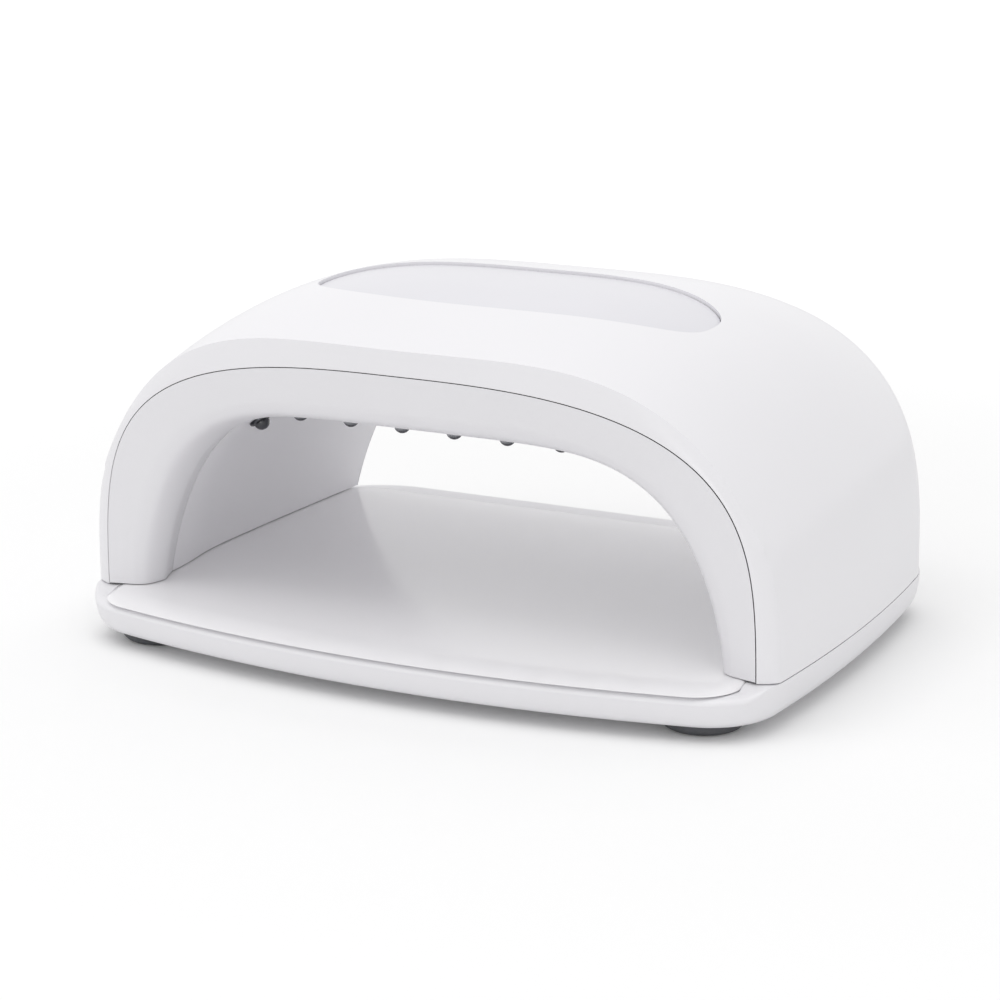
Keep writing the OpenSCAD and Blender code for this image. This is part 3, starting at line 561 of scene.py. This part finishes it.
w, r = TRAY_W + 0.3, TRAY_R + 0.3
slot = np.concatenate([
    [[-w, -140], [w, -140]],
    arc(w - r, TRAY_BACK + 0.3 - r, r, 0, 90, 12), arc(r - w, TRAY_BACK + 0.3 - r, r, 90, 180, 12)])


cutters = [prism("slot_cutter", slot, TRAY_Z, 60.0), prism("tub_cutter", base_plan(8.0), 6.2, 60.0)]


def hollow(obj):
    for c in cutters:
        cut = obj.modifiers.new(c.name, "BOOLEAN")
        cut.operation = "DIFFERENCE"
        cut.solver = "EXACT"
        cut.object = c


modified(base_shell, hollow)
for c in cutters:
    bpy.data.objects.remove(c)
smooth(base_shell, 32.0)
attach(base_shell, "lamp_body")
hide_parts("base_shell")


# The plate the hand rests on: 1.8 mm gloss ABS that slides out to the front
# for cleaning. Its front edge rolls down to meet the base.
tray_abs, t = new_material("tray_white_high_gloss_abs")
# Hard gloss, because it is wiped all day: the tunnel wall mirrors in it. Very
# fine wiping scratches run from front to back.
where = add(t, "ShaderNodeTexCoord")
run = add(t, "ShaderNodeMapping", {"Vector": where.outputs["Object"]})
run.inputs["Scale"].default_value = (2600.0, 22.0, 300.0)
scratch = add(t, "ShaderNodeTexNoise", {"Vector": run.outputs["Vector"]}, Scale=1.0, Detail=3.0)
drift = add(t, "ShaderNodeTexNoise", {"Vector": where.outputs["Object"]}, Scale=12.0, Detail=2.0)
# Its white is set lighter than the cover's: painted light that brightens the tray in the tunnel's shade.
tone = add(t, "ShaderNodeValToRGB", {"Fac": drift.outputs["Fac"]})
tone.color_ramp.elements[0].color = srgb("F5F4F6")
tone.color_ramp.elements[1].color = srgb("F8F7F9")
relief = add(t, "ShaderNodeBump", {"Height": scratch.outputs["Fac"]}, Strength=0.02, Distance=0.00005)
surface = add(t, "ShaderNodeBsdfPrincipled",
              {"Base Color": tone.outputs["Color"], "Normal": relief.outputs["Normal"]},
              Roughness=0.16, IOR=1.53)
add(t, "ShaderNodeOutputMaterial", {"Surface": surface.outputs["BSDF"]})

TRAY_ROLL = 12.0


def tray_plan(inset, roll):
    """The tray's outline, moved in by `inset`, with its front edge `roll` further back."""
    side = TRAY_W - inset
    r = TRAY_R
    ay = -BASE_FRONT + BASE_BOW + inset + roll
    cx = side - r
    cy = ay - math.sqrt((BASE_BOW - r) ** 2 - cx * cx)
    a1 = math.degrees(math.atan2(cy - ay, cx))
    half = np.concatenate([
        arc(0, ay, BASE_BOW, -90, a1, 48),
        arc(cx, cy, r, a1, 0, 14, False),
        arc(cx, TRAY_BACK - inset - r, r, 0, 90, 12)])
    return np.concatenate([half, half[:0:-1] * [-1, 1]])


# an undercut along the edge leaves a fine dark line above the base
EDGE_Z = TRAY_Z + 0.4
rows = [np.c_[tray_plan(inset, 0), np.full(len(tray_plan(0, 0)), z)]
        for inset, z in ((2.5, TRAY_Z), (2.5, TRAY_Z + 0.28), (0.12, TRAY_Z + 0.3))]
for f in np.linspace(0, 1, 15):
    height = EDGE_Z + (TRAY_Z + TRAY_T - EDGE_Z) * (1 - (1 - f) ** 2.4)
    rows.append(np.c_[tray_plan(0, TRAY_ROLL * f), np.full(len(rows[0]), height)])
palm_tray = mesh_object("palm_tray_plate", *stacked(rows), tray_abs)
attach(palm_tray, "tray")
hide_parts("palm_tray")


# The touch and display window let into the crown: light grey moulded acrylic,
# 1.6 mm thick, lying 1 mm below the cover so that its rim shows as a fine step.
window_acrylic, t = new_material("window_grey_gloss_acrylic")
# Dead-front finish: a faint cloudy depth under a smooth gloss skin.
where = add(t, "ShaderNodeTexCoord")
drift = add(t, "ShaderNodeTexNoise", {"Vector": where.outputs["Object"]}, Scale=30.0, Detail=2.0)
tone = add(t, "ShaderNodeValToRGB", {"Fac": drift.outputs["Fac"]})
tone.color_ramp.elements[0].color = srgb("DDDCE1")
tone.color_ramp.elements[1].color = srgb("E1E0E5")
surface = add(t, "ShaderNodeBsdfPrincipled", {"Base Color": tone.outputs["Color"]},
              Roughness=0.3, IOR=1.49)
add(t, "ShaderNodeOutputMaterial", {"Surface": surface.outputs["BSDF"]})


def crown_z(x, y, inset):
    z = (CROWN_H - inset) * (1 - (np.abs(x) / (CROWN_A - inset)) ** CROWN_N) ** (1 / CROWN_M)
    return AXIS_Z + np.sqrt((z - AXIS_Z) ** 2 - (y - CROWN_Y) ** 2)


ring = window_outline(-0.1, 160)
mid = np.array([WIN_X, -WIN_Y])
steps = np.concatenate([np.linspace(0.03, 0.98, 26), [0.993, 1.0]])
rows = []
for inset, sag in ((1.0, 1), (2.6, -1)):
    layer = []
    for f in steps:
        p = mid + (ring - mid) * f
        soft = 0.12 * sag if f == 1.0 else 0.0
        layer.append(np.c_[p, crown_z(p[:, 0], p[:, 1], inset + soft)])
    rows += layer if inset == 1.0 else layer[::-1]
display_window = mesh_object("display_window_lens", *stacked(rows), window_acrylic, 40.0)
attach(display_window, "lamp_body")
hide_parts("display_window")


# 5 mm round through-hole LEDs poking through the reflector, each in a dark
# plated retaining ring. The moulded epoxy body is clear; its colour is painted
# shade at the tip and a painted highlight higher up.
bead_epoxy, t = new_material("led_epoxy_painted_shade_highlight")
# Painted light by height: painted shade darkens the tip and a painted highlight brightens it up by the
# flange.
where = add(t, "ShaderNodeTexCoord")
split = add(t, "ShaderNodeSeparateXYZ", {"Vector": where.outputs["Object"]})
height = add(t, "ShaderNodeMapRange", {"Value": split.outputs["Z"]})
height.inputs["From Min"].default_value = 0.0672
height.inputs["From Max"].default_value = 0.0700
tone = add(t, "ShaderNodeValToRGB", {"Fac": height.outputs["Result"]})
tone.color_ramp.elements[0].color = srgb("3C3D42")
tone.color_ramp.elements[1].color = srgb("D9DBE0")
surface = add(t, "ShaderNodeBsdfPrincipled", {"Base Color": tone.outputs["Color"]},
              Roughness=0.06, IOR=1.54)
add(t, "ShaderNodeOutputMaterial", {"Surface": surface.outputs["BSDF"]})

ring_chrome, t = new_material("black_chrome_ring")
# Dark plated brass: mirrors the white tunnel at its edges, dark elsewhere.
where = add(t, "ShaderNodeTexCoord")
spin = add(t, "ShaderNodeTexNoise", {"Vector": where.outputs["Object"]}, Scale=1500.0, Detail=2.0)
tone = add(t, "ShaderNodeValToRGB", {"Fac": spin.outputs["Fac"]})
tone.color_ramp.elements[0].color = srgb("3E3F43")
tone.color_ramp.elements[1].color = srgb("55565A")
surface = add(t, "ShaderNodeBsdfPrincipled", {"Base Color": tone.outputs["Color"]},
              Roughness=0.22, Metallic=1.0)
add(t, "ShaderNodeOutputMaterial", {"Surface": surface.outputs["BSDF"]})

BEAD_D, BEAD_TIP, ROWS, PITCH, ROW_PITCH, ROW_FRONT = 5.0, 66.4, 4, 17.3, 22.0, 36.0
SIDE_X = 74.0


def liner_height(x):
    return LINER_H * (1 - (np.abs(x) / LINER_A) ** LINER_N) ** (1 / LINER_M)


def lowest_ceiling(x):
    return LINER_H * (1 - (np.abs(x) / (LINER_A + liner_a[0])) ** LINER_N) ** (1 / LINER_M)


side_slope = math.atan((liner_height(SIDE_X + 1) - liner_height(SIDE_X - 1)) / 2)
SHOULDER_BEADS = 3
RING_T, RING_RIM = 1.2, 1.1
places = []
for j in range(ROWS):
    n = 7 - j % 2
    for i in range(n):
        x = (i - (n - 1) / 2) * PITCH
        places.append(((x, -ROW_FRONT + j * ROW_PITCH, BEAD_TIP), 0.0,
                       float(lowest_ceiling(abs(x) + BEAD_D / 2 + RING_RIM)) - RING_T - 0.15))
side_places = []
for s in (-1, 1):
    for i in range(SHOULDER_BEADS):
        tilt = -s * side_slope
        base = Vector((s * SIDE_X, -ROW_FRONT + (i + 0.5) * ROW_PITCH, float(liner_height(SIDE_X))))
        down = Vector((-math.sin(tilt), 0, -math.cos(tilt)))
        side_places.append((s, base, tilt, down))


def lathe(name, profile, material, count=28):
    """A round piece from (radius, height) pairs in mm, closed on its axis."""
    k = len(profile)
    pts = [(r * math.cos(2 * math.pi * i / count), r * math.sin(2 * math.pi * i / count), z)
           for i in range(count) for r, z in profile]
    faces = [(i * k + j, ((i + 1) % count) * k + j, ((i + 1) % count) * k + j + 1, i * k + j + 1)
             for i in range(count) for j in range(k - 1)]
    return mesh_object(name, pts, faces, material, 40.0)


r = BEAD_D / 2
dome = [(r * math.sin(a), r - r * math.cos(a)) for a in np.linspace(0, math.pi / 2, 9)]
bead_mesh = lathe("bead_pattern", dome + [(r, 7.2), (r, 8.7), (0, 8.7)], bead_epoxy, 24)
ring_profile = [(r + 0.15, 0), (r + 0.45, 0), (r + 1.0, 0.35), (r + RING_RIM, 0.7), (r + RING_RIM, RING_T),
                (r + 0.15, RING_T), (r + 0.15, 0)]
ring_mesh = lathe("ring_pattern", ring_profile, ring_chrome, 24)


def scatter_tree(name):
    """Geometry Nodes: an instance of `pattern` on every point, turned by the point's own angle."""
    tree = bpy.data.node_groups.new(name, "GeometryNodeTree")
    face = tree.interface
    face.new_socket("Geometry", in_out="INPUT", socket_type="NodeSocketGeometry")
    face.new_socket("Pattern", in_out="INPUT", socket_type="NodeSocketObject")
    face.new_socket("Size", in_out="INPUT", socket_type="NodeSocketFloat").default_value = 1.0
    face.new_socket("Finish", in_out="INPUT", socket_type="NodeSocketMaterial")
    face.new_socket("Geometry", in_out="OUTPUT", socket_type="NodeSocketGeometry")
    src = add(tree, "NodeGroupInput")
    pattern = add(tree, "GeometryNodeObjectInfo", {"Object": src.outputs["Pattern"]},
                  transform_space="ORIGINAL")
    turn = add(tree, "GeometryNodeInputNamedAttribute", data_type="FLOAT_VECTOR")
    turn.inputs["Name"].default_value = "turn"
    spread = add(tree, "GeometryNodeInstanceOnPoints", {
        "Points": src.outputs["Geometry"], "Instance": pattern.outputs["Geometry"],
        "Rotation": turn.outputs["Attribute"], "Scale": src.outputs["Size"]})
    real = add(tree, "GeometryNodeRealizeInstances", {"Geometry": spread.outputs["Instances"]})
    finish = add(tree, "GeometryNodeSetMaterial", {
        "Geometry": real.outputs["Geometry"], "Material": src.outputs["Finish"]})
    add(tree, "NodeGroupOutput", {"Geometry": finish.outputs["Geometry"]})
    return tree


def scattered(name, tree, points, pattern, finish):
    """One plain mesh with the pattern on every (place in mm, (rx, ry, rz)) point."""
    mesh = bpy.data.meshes.new(name)
    mesh.from_pydata([Vector(p) * 0.001 for p, _ in points], [], [])
    turn = mesh.attributes.new("turn", "FLOAT_VECTOR", "POINT")
    for i, (_, angles) in enumerate(points):
        turn.data[i].vector = angles
    obj = bpy.data.objects.new(name, mesh)
    bpy.context.scene.collection.objects.link(obj)
    mod = obj.modifiers.new("scatter", "NODES")
    mod.node_group = tree
    for item in tree.interface.items_tree:
        if item.in_out == "INPUT" and item.name in ("Pattern", "Finish"):
            mod[item.identifier] = pattern if item.name == "Pattern" else finish
        elif item.in_out == "INPUT" and item.name == "Size":
            mod[item.identifier] = 1.0
    bpy.context.view_layer.update()
    done = bpy.data.meshes.new_from_object(obj.evaluated_get(bpy.context.evaluated_depsgraph_get()))
    obj.modifiers.clear()
    obj.data = done
    bpy.data.meshes.remove(mesh)
    smooth(obj, 40.0)
    return obj


bead_tree = scatter_tree("bead_scatter")
led_beads = scattered("led_beads_ceiling", bead_tree, [(p, (0, 0, 0)) for p, _, _ in places],
                      bead_mesh, bead_epoxy)
led_rings = scattered("led_rings_all", bead_tree,
                      [((p[0], p[1], z), (0, 0, 0)) for p, _, z in places]
                      + [(tuple(b + d * 2.5), (0, a, 0)) for _, b, a, d in side_places],
                      ring_mesh, ring_chrome)
for s, side in ((-1, "left"), (1, "right")):
    spots = [(tuple(b + d * 5.0), (0, a, 0)) for q, b, a, d in side_places if q == s]
    piece = scattered("led_beads_" + side + "_shoulder", bead_tree, spots, bead_mesh, bead_epoxy)
    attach(piece, "lamp_body")
    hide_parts("led_beads_" + side)
for o in (bead_mesh, ring_mesh):
    bpy.data.objects.remove(o)
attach(led_beads, "lamp_body")
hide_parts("led_beads")
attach(led_rings, "lamp_body")
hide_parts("led_rings")


# Four round grey rubber feet stuck under the base, each a low disc with a
# softly rounded lower edge and a shallow dished sole.
foot_rubber, t = new_material("grey_thermoplastic_rubber")
# Matt moulded rubber with a fine spark-eroded grain.
where = add(t, "ShaderNodeTexCoord")
grain = add(t, "ShaderNodeTexNoise", {"Vector": where.outputs["Object"]}, Scale=1200.0, Detail=3.0)
tone = add(t, "ShaderNodeValToRGB", {"Fac": grain.outputs["Fac"]})
tone.color_ramp.elements[0].color = srgb("525357")
tone.color_ramp.elements[1].color = srgb("5F6064")
relief = add(t, "ShaderNodeBump", {"Height": grain.outputs["Fac"]}, Strength=0.3, Distance=0.0001)
surface = add(t, "ShaderNodeBsdfPrincipled",
              {"Base Color": tone.outputs["Color"], "Normal": relief.outputs["Normal"]},
              Roughness=0.6, IOR=1.5)
add(t, "ShaderNodeOutputMaterial", {"Surface": surface.outputs["BSDF"]})
FOOT_R = 12.5
edge = [(FOOT_R - 3.4 + 3 * math.cos(math.radians(a)), 3 + 3 * math.sin(math.radians(a)))
        for a in np.linspace(-90, -20, 10)]
foot_profile = [(0, 0.35), (6.5, 0.3), (7.4, 0)] + edge + [(FOOT_R, 4.0), (0, 4.0)]
foot_mesh = lathe("foot_pattern", foot_profile, foot_rubber, 64)
feet = scattered("rubber_feet", bead_tree,
                 [((sx * 89.0, sy * 57.5, 0.0), (0, 0, 0)) for sx in (-1, 1) for sy in (-1, 1)],
                 foot_mesh, foot_rubber)
bpy.data.objects.remove(foot_mesh)
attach(feet, "lamp_body")
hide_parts("foot_front_left", "foot_front_right", "foot_back_left", "foot_back_right")


# The rear panel closes the cover over the tunnel's back end and carries the
# round charging socket and a small rocker switch. Their CAD shapes stay.
panel_abs, t = new_material("rear_panel_white_abs")
# Lightly spark-eroded ABS, less glossy than the cover.
where = add(t, "ShaderNodeTexCoord")
grain = add(t, "ShaderNodeTexNoise", {"Vector": where.outputs["Object"]}, Scale=1000.0, Detail=2.0)
tone = add(t, "ShaderNodeValToRGB", {"Fac": grain.outputs["Fac"]})
tone.color_ramp.elements[0].color = srgb("EAE9EC")
tone.color_ramp.elements[1].color = srgb("EFEEF1")
relief = add(t, "ShaderNodeBump", {"Height": grain.outputs["Fac"]}, Strength=0.2, Distance=0.0001)
surface = add(t, "ShaderNodeBsdfPrincipled",
              {"Base Color": tone.outputs["Color"], "Normal": relief.outputs["Normal"]},
              Roughness=0.4, IOR=1.53)
add(t, "ShaderNodeOutputMaterial", {"Surface": surface.outputs["BSDF"]})


def dress(material, *names):
    """Gives CAD nodes a material in their own slots."""
    for name in names:
        for slot in nodes[name].material_slots:
            slot.material = material


dress(panel_abs, "rear_panel")

black_abs, t = new_material("black_matt_nylon")
# Moulded glass-filled nylon: charcoal with a speckled skin.
where = add(t, "ShaderNodeTexCoord")
grain = add(t, "ShaderNodeTexNoise", {"Vector": where.outputs["Object"]}, Scale=1500.0, Detail=3.0)
tone = add(t, "ShaderNodeValToRGB", {"Fac": grain.outputs["Fac"]})
tone.color_ramp.elements[0].color = srgb("17171A")
tone.color_ramp.elements[1].color = srgb("242428")
surface = add(t, "ShaderNodeBsdfPrincipled", {"Base Color": tone.outputs["Color"]},
              Roughness=0.45, IOR=1.53)
add(t, "ShaderNodeOutputMaterial", {"Surface": surface.outputs["BSDF"]})
dress(black_abs, "charge_socket", "switch_body", "power_rocker", "battery_cradle", "display_holder",
      "digit_display", "hand_sensor")


# Boards, cells, magnets, springs and screws sit out of sight inside the cover
# and base. Their CAD shapes stay and only take their real finishes.
board_mask, t = new_material("green_solder_mask")
# Glass-epoxy laminate under a glossy green mask, with the weave just showing.
where = add(t, "ShaderNodeTexCoord")
weave = add(t, "ShaderNodeTexWave", {"Vector": where.outputs["Object"]}, Scale=600.0, Distortion=0.5)
tone = add(t, "ShaderNodeValToRGB", {"Fac": weave.outputs["Fac"]})
tone.color_ramp.elements[0].color = srgb("14573A")
tone.color_ramp.elements[1].color = srgb("196644")
surface = add(t, "ShaderNodeBsdfPrincipled", {"Base Color": tone.outputs["Color"]},
              Roughness=0.35, IOR=1.5)
add(t, "ShaderNodeOutputMaterial", {"Surface": surface.outputs["BSDF"]})
dress(board_mask, "display_board", "led_board", "led_board_left", "led_board_right", "control_board")

cell_film, t = new_material("blue_shrink_film")
# PVC shrink sleeve, slightly wrinkled along the cell.
where = add(t, "ShaderNodeTexCoord")
crease = add(t, "ShaderNodeTexNoise", {"Vector": where.outputs["Object"]}, Scale=160.0, Detail=2.0)
tone = add(t, "ShaderNodeValToRGB", {"Fac": crease.outputs["Fac"]})
tone.color_ramp.elements[0].color = srgb("24508C")
tone.color_ramp.elements[1].color = srgb("2C5C9C")
relief = add(t, "ShaderNodeBump", {"Height": crease.outputs["Fac"]}, Strength=0.2, Distance=0.0002)
surface = add(t, "ShaderNodeBsdfPrincipled",
              {"Base Color": tone.outputs["Color"], "Normal": relief.outputs["Normal"]},
              Roughness=0.3, IOR=1.52)
add(t, "ShaderNodeOutputMaterial", {"Surface": surface.outputs["BSDF"]})
dress(cell_film, "battery_cells")

bright_steel, t = new_material("zinc_plated_steel")
# Bright zinc plate with a fine turned grain.
where = add(t, "ShaderNodeTexCoord")
grain = add(t, "ShaderNodeTexNoise", {"Vector": where.outputs["Object"]}, Scale=1800.0, Detail=2.0)
tone = add(t, "ShaderNodeValToRGB", {"Fac": grain.outputs["Fac"]})
tone.color_ramp.elements[0].color = srgb("A9AAAD")
tone.color_ramp.elements[1].color = srgb("BDBEC0")
surface = add(t, "ShaderNodeBsdfPrincipled", {"Base Color": tone.outputs["Color"]},
              Roughness=0.35, Metallic=1.0)
add(t, "ShaderNodeOutputMaterial", {"Surface": surface.outputs["BSDF"]})
dress(bright_steel, "tray_discs", "base_magnets", "touch_springs", "board_standoffs", "case_screws")


# White sweep: a pale floor that keeps the soft shadow, a plain white world and
# two large soft lights, the main one overhead.
floor_mesh = bpy.data.meshes.new("floor")
floor_mesh.from_pydata([(-4, -4, 0), (4, -4, 0), (4, 4, 0), (-4, 4, 0)], [], [(0, 1, 2, 3)])
floor = bpy.data.objects.new("floor", floor_mesh)
bpy.context.scene.collection.objects.link(floor)
floor_paper, t = new_material("white_paper_sweep")
fibre = add(t, "ShaderNodeTexCoord")
cloud = add(t, "ShaderNodeTexNoise", {"Vector": fibre.outputs["Object"]}, Scale=3.0)
tone = add(t, "ShaderNodeValToRGB", {"Fac": cloud.outputs["Fac"]})
tone.color_ramp.elements[0].color = srgb("F4F4F4")
tone.color_ramp.elements[1].color = srgb("F6F6F6")
path = add(t, "ShaderNodeLightPath")
paper = add(t, "ShaderNodeBsdfDiffuse", {"Color": tone.outputs["Color"]})
# Painted light: for the camera only, the sheet glows more away from the lamp, whitening the far floor.
away = add(t, "ShaderNodeVectorMath", {0: fibre.outputs["Object"]}, operation="LENGTH")
lift = add(t, "ShaderNodeMapRange", {"Value": away.outputs["Value"]}, interpolation_type="SMOOTHSTEP")
lift.inputs["From Min"].default_value = 0.2
lift.inputs["From Max"].default_value = 1.0
lift.inputs["To Min"].default_value = 0.05
lift.inputs["To Max"].default_value = 0.4
painted_glow = add(t, "ShaderNodeEmission", {"Strength": lift.outputs["Result"]}, Color=(1, 1, 1, 1))
paper_with_painted_glow = add(t, "ShaderNodeAddShader", {0: paper.outputs["BSDF"], 1: painted_glow.outputs["Emission"]})
pick = add(t, "ShaderNodeMixShader", {
    0: path.outputs["Is Camera Ray"], 1: paper.outputs["BSDF"], 2: paper_with_painted_glow.outputs["Shader"]})
add(t, "ShaderNodeOutputMaterial", {"Surface": pick.outputs["Shader"]})
floor_mesh.materials.append(floor_paper)

world = bpy.data.worlds.new("white_studio")
bpy.context.scene.world = world
world.use_nodes = True
t = world.node_tree
t.nodes.clear()
path = add(t, "ShaderNodeLightPath")
seen = add(t, "ShaderNodeMath", {
    0: path.outputs["Is Camera Ray"], 1: path.outputs["Is Transmission Ray"]}, operation="MAXIMUM")
seen_or_mirrored = add(t, "ShaderNodeMath", {
    0: seen.outputs[0], 1: path.outputs["Is Glossy Ray"]}, operation="MAXIMUM")
plain = add(t, "ShaderNodeBackground", Color=(1, 1, 1, 1), Strength=0.74)
white = add(t, "ShaderNodeBackground", Color=(1, 1, 1, 1), Strength=1.0)
mix = add(t, "ShaderNodeMixShader", {
    0: seen_or_mirrored.outputs[0], 1: plain.outputs["Background"], 2: white.outputs["Background"]})
add(t, "ShaderNodeOutputWorld", {"Surface": mix.outputs["Shader"]})


def soft_light(name, place, aim, size, watts):
    data = bpy.data.lights.new(name, "AREA")
    data.shape = "RECTANGLE"
    data.size, data.size_y = size
    data.energy = watts
    lamp = bpy.data.objects.new(name, data)
    bpy.context.scene.collection.objects.link(lamp)
    lamp.location = place
    lamp.rotation_mode = "QUATERNION"
    lamp.rotation_quaternion = (Vector(aim) - Vector(place)).to_track_quat("-Z", "Y")


soft_light("overhead_softbox", (0.0, -0.1, 1.5), (0, 0, 0), (1.4, 1.4), 7.0)
soft_light("front_left_softbox", (-0.8, -0.7, 1.35), (0, -0.05, 0.03), (1.2, 1.2), 2.0)
soft_light("tunnel_fill", (0.4, -1.3, 0.14), (-0.05, 0, 0.045), (0.5, 0.2), 1.0)

bpy.context.scene.view_settings.view_transform = "Standard"
